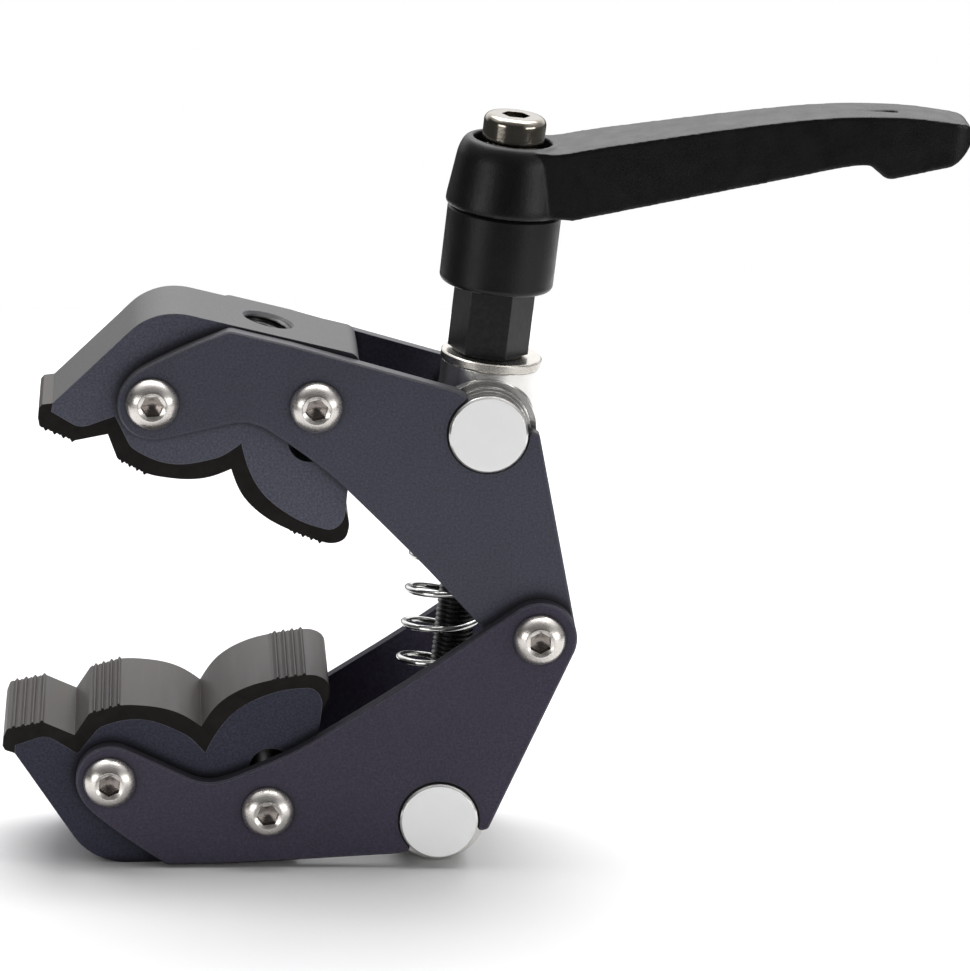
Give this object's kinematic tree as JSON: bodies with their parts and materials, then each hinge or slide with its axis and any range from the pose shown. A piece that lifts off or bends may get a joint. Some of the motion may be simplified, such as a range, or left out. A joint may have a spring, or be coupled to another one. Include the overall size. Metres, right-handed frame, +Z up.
{
  "type": "super clamp",
  "caption": "Plier-like super clamp: two hinged plate arms with padded vee jaws, a sprung closing screw with a ratchet lever, and tapped sockets in the jaw backs.",
  "frame": {"origin": "bottom centre of the bounding box, at the foot of the lower jaw block", "axes": "+Z up along the closing screw, +X from the jaws towards the hinge and the lever's tip, +Y away from the front plate"},
  "size_m": [0.1914, 0.0422, 0.1529],
  "materials": {
    "arm_plate": "dark slate powder coat with a fine texture on steel plate",
    "jaw_block": "dark slate powder coat on cast aluminium",
    "jaw_pad": "satin black rubber with fine cross ribs",
    "pin": "turned steel",
    "washer": "nickel plated steel",
    "button_screw": "polished stainless steel",
    "trunnion": "turned steel with bright nickel plate",
    "black_steel": "black oxide on machined steel",
    "lever_paint": "satin black powder coat on die-cast zinc",
    "insert_steel": "dark plated steel with fine teeth",
    "spring_steel": "bright plated spring wire",
    "cap_screw": "zinc plated steel"
  },
  "bodies": {
    "lower_arm": {"lower_front_plate": "arm_plate", "lower_rear_plate": "arm_plate", "lower_pivot_sleeve": "pin", "lower_stop_sleeve": "pin", "lower_arm_screws": "button_screw", "hinge_sleeve": "pin", "hinge_screws": "button_screw", "hinge_washers": "washer"},
    "upper_arm": {"upper_front_plate": "arm_plate", "upper_rear_plate": "arm_plate", "upper_pivot_sleeve": "pin", "upper_stop_sleeve": "pin", "upper_arm_screws": "button_screw"},
    "upper_jaw": {"upper_jaw_block": "jaw_block", "upper_jaw_pad": "jaw_pad"},
    "lower_jaw": {"lower_jaw_block": "jaw_block", "lower_jaw_pad": "jaw_pad"},
    "upper_swivel": {"upper_trunnion": "trunnion", "thrust_washer": "washer", "clamp_spring": "spring_steel"},
    "lower_swivel": {"lower_trunnion": "trunnion"},
    "screw": {"clamp_screw": "black_steel", "hex_sleeve": "black_steel", "lever_collar": "lever_paint", "lever_insert": "insert_steel", "lever_cap_screw": "cap_screw", "lever_spring": "spring_steel"},
    "handle": {"lever_handle": "lever_paint"}
  },
  "joints": [
    {"name": "lever_turn", "type": "hinge", "parent": "upper_swivel", "child": "screw", "pos_m": [-0.00052, 0, 0.09009], "axis": [-0.0958, 0, -0.9954], "range_deg": [0, 3600]},
    {"name": "arm_hinge", "type": "hinge", "parent": "lower_arm", "child": "upper_arm", "pos_m": [0.01127, 0, 0.04841], "axis": [0, -1, 0], "range_deg": [0, 28.5], "deforming": ["clamp_spring"]},
    {"name": "upper_trunnion_turn", "type": "hinge", "parent": "upper_arm", "child": "upper_swivel", "pos_m": [0.00035, 0, 0.09], "axis": [0, -1, 0], "range_deg": [-14.25, 0]},
    {"name": "lower_trunnion_turn", "type": "hinge", "parent": "lower_arm", "child": "lower_swivel", "pos_m": [-0.00822, 0, 0.01008], "axis": [0, -1, 0], "range_deg": [0, 14.25]},
    {"name": "upper_jaw_rock", "type": "hinge", "parent": "upper_arm", "child": "upper_jaw", "pos_m": [-0.06602, 0, 0.09596], "axis": [0, -1, 0], "range_deg": [0, 14]},
    {"name": "lower_jaw_rock", "type": "hinge", "parent": "lower_arm", "child": "lower_jaw", "pos_m": [-0.07435, 0, 0.01833], "axis": [0, 1, 0], "range_deg": [0, 14]},
    {"name": "lever_lift", "type": "slide", "parent": "screw", "child": "handle", "axis": [0.0958, 0, 0.9954], "range_m": [0, 0.0035], "stiffness_N_per_m": 800, "springref_m": -0.004, "deforming": ["lever_spring"]}
  ],
  "couplings": [
    {"joint": "arm_hinge", "follows": "lever_turn", "ratio": 0.0079166},
    {"joint": "upper_trunnion_turn", "follows": "lever_turn", "ratio": -0.0039583},
    {"joint": "lower_trunnion_turn", "follows": "lever_turn", "ratio": 0.0039583}
  ]
}
